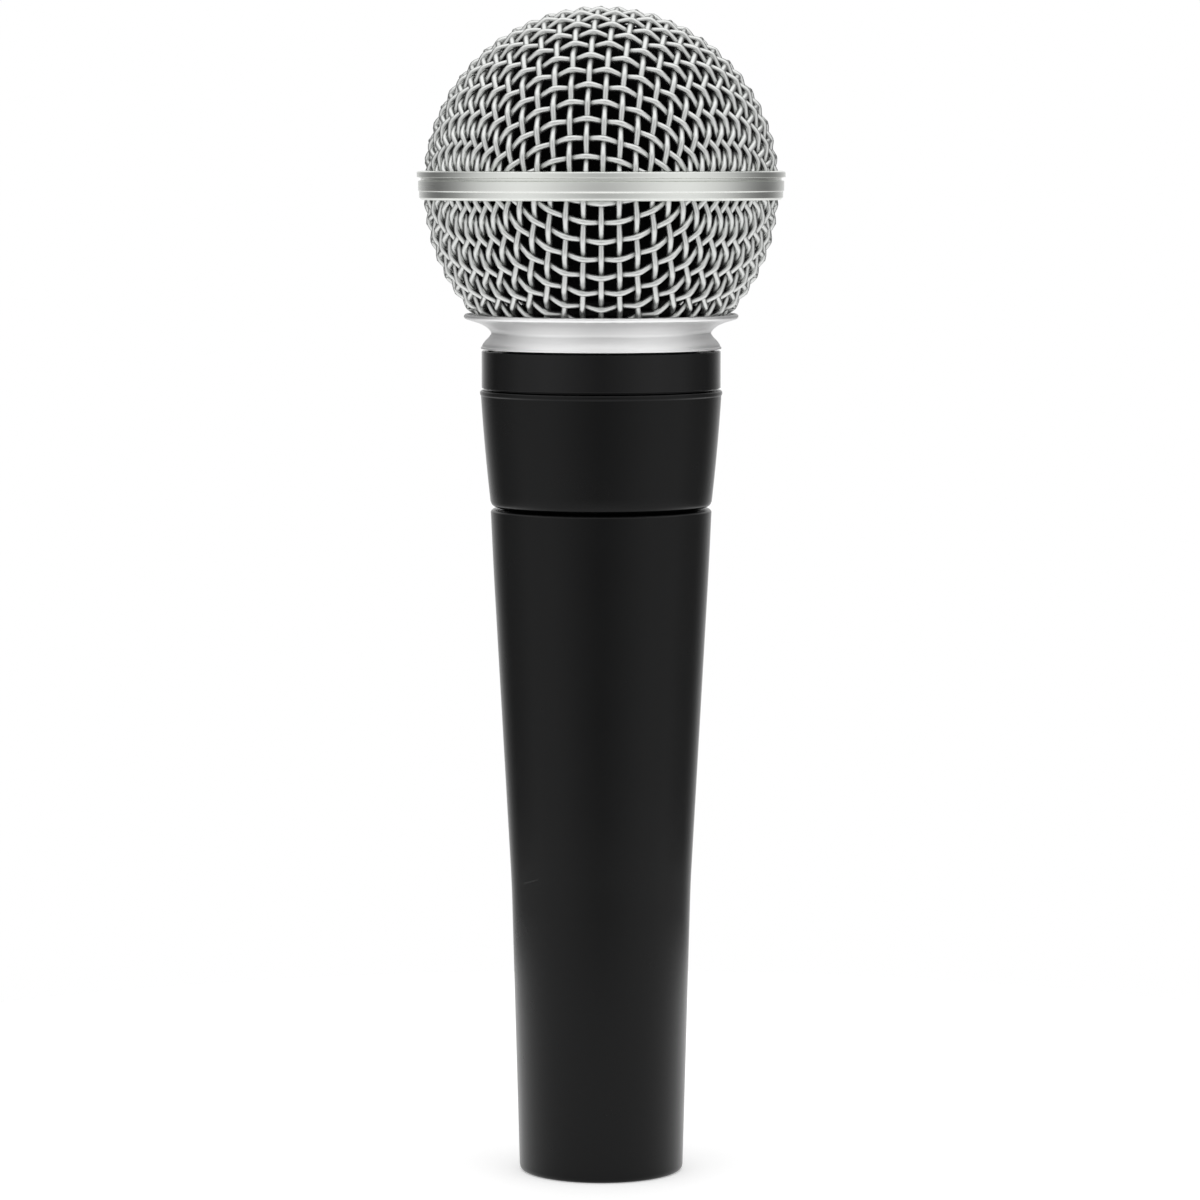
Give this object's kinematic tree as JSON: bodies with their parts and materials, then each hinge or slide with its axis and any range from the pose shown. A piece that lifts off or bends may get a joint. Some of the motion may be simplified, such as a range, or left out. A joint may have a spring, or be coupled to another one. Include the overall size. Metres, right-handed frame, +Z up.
{
  "type": "dynamic microphone",
  "caption": "Handheld dynamic vocal microphone: woven-wire ball grille on a tapered metal handle, moving-coil cartridge on a rubber shock mount, three-pin socket in the tail.",
  "frame": {"origin": "centre of the flat tail rim that the microphone stands on, on its long axis", "axes": "+Z up the long axis from the tail to the ball grille; +Y towards the set screw and the socket's keyway, +X to the right seen from the front (from -Y)"},
  "size_m": [0.0508, 0.0508, 0.1619],
  "materials": {
    "body_paint": "satin black enamel",
    "nameplate": "semi-gloss black",
    "grille_steel": "bright woven steel wire",
    "trim_steel": "satin silver plating",
    "foam": "open-cell foam",
    "rubber": "matte rubber",
    "black_plastic": "moulded, matte",
    "contact_silver": "silver plated",
    "screw_steel": "blackened steel",
    "soft_iron": "machined, plated",
    "magnet_grey": "ground",
    "lamination": "stacked sheet, lacquered",
    "former_plastic": "natural nylon",
    "copper_wire": "enamelled copper wire",
    "brass_ring": "turned",
    "film": "clear polyester film",
    "fine_screen": "fine woven wire",
    "acoustic_cloth": "woven cloth",
    "board": "paper laminate",
    "tinned_brass": "tinned",
    "red_wire": "insulated wire",
    "black_wire": "insulated wire",
    "green_wire": "insulated wire",
    "yellow_wire": "insulated wire",
    "blue_wire": "insulated wire"
  },
  "bodies": {
    "handle": {"handle_shell": "body_paint", "xlr_insulator": "black_plastic", "xlr_pin_1": "contact_silver", "xlr_pin_2": "contact_silver", "xlr_pin_3": "contact_silver", "xlr_set_screw": "screw_steel", "transformer_core": "lamination", "transformer_coil_former": "former_plastic", "transformer_winding": "copper_wire", "transformer_cushion": "foam", "output_lead_1": "green_wire", "output_lead_2": "yellow_wire", "output_lead_3": "blue_wire", "capsule_lead_red": "red_wire", "capsule_lead_black": "black_wire"},
    "shock_mount": {"shock_mount": "rubber"},
    "housing": {"cartridge_housing": "body_paint", "nameplate_ring": "nameplate"},
    "capsule": {"capsule_body": "black_plastic", "rear_port_screen": "acoustic_cloth", "yoke_cup": "soft_iron", "magnet": "magnet_grey", "pole_piece": "soft_iron", "diaphragm_seat_ring": "brass_ring", "diaphragm_clamp_ring": "brass_ring", "resonator_cap": "black_plastic", "front_screen": "fine_screen", "rear_air_chamber": "black_plastic", "terminal_board": "board", "terminal_positive": "tinned_brass", "terminal_negative": "tinned_brass"},
    "diaphragm": {"diaphragm": "film", "voice_coil": "copper_wire"},
    "foam": {"foam_windscreen": "foam"},
    "grille": {"mesh_dome_upper": "grille_steel", "mesh_bowl_lower": "grille_steel", "band_ring": "trim_steel", "grille_collar": "trim_steel"}
  },
  "joints": [
    {"name": "housing_lift", "type": "slide", "parent": "handle", "child": "shock_mount", "axis": [0, 0, 1], "range_m": [0, 0.006], "deforming": ["capsule_lead_red", "capsule_lead_black"]},
    {"name": "housing_turn", "type": "hinge", "parent": "shock_mount", "child": "housing", "pos_m": [0, 0, 0.0846], "axis": [0, 0, 1], "range_deg": [0, 2160]},
    {"name": "capsule_float", "type": "slide", "parent": "housing", "child": "capsule", "axis": [0, 0, 1], "range_m": [-0.001, 0.001], "stiffness_N_per_m": 2500},
    {"name": "diaphragm_travel", "type": "slide", "parent": "capsule", "child": "diaphragm", "axis": [0, 0, 1], "range_m": [-0.00025, 0.00025], "stiffness_N_per_m": 60},
    {"name": "grille_lift", "type": "slide", "parent": "housing", "child": "foam", "axis": [0, 0, 1], "range_m": [0, 0.004]},
    {"name": "grille_turn", "type": "hinge", "parent": "foam", "child": "grille", "pos_m": [0, 0, 0.1146], "axis": [0, 0, 1], "range_deg": [0, 1440]}
  ],
  "couplings": [
    {"joint": "housing_lift", "follows": "housing_turn", "m_per_rad": 0.00015915},
    {"joint": "grille_lift", "follows": "grille_turn", "m_per_rad": 0.00015915}
  ]
}
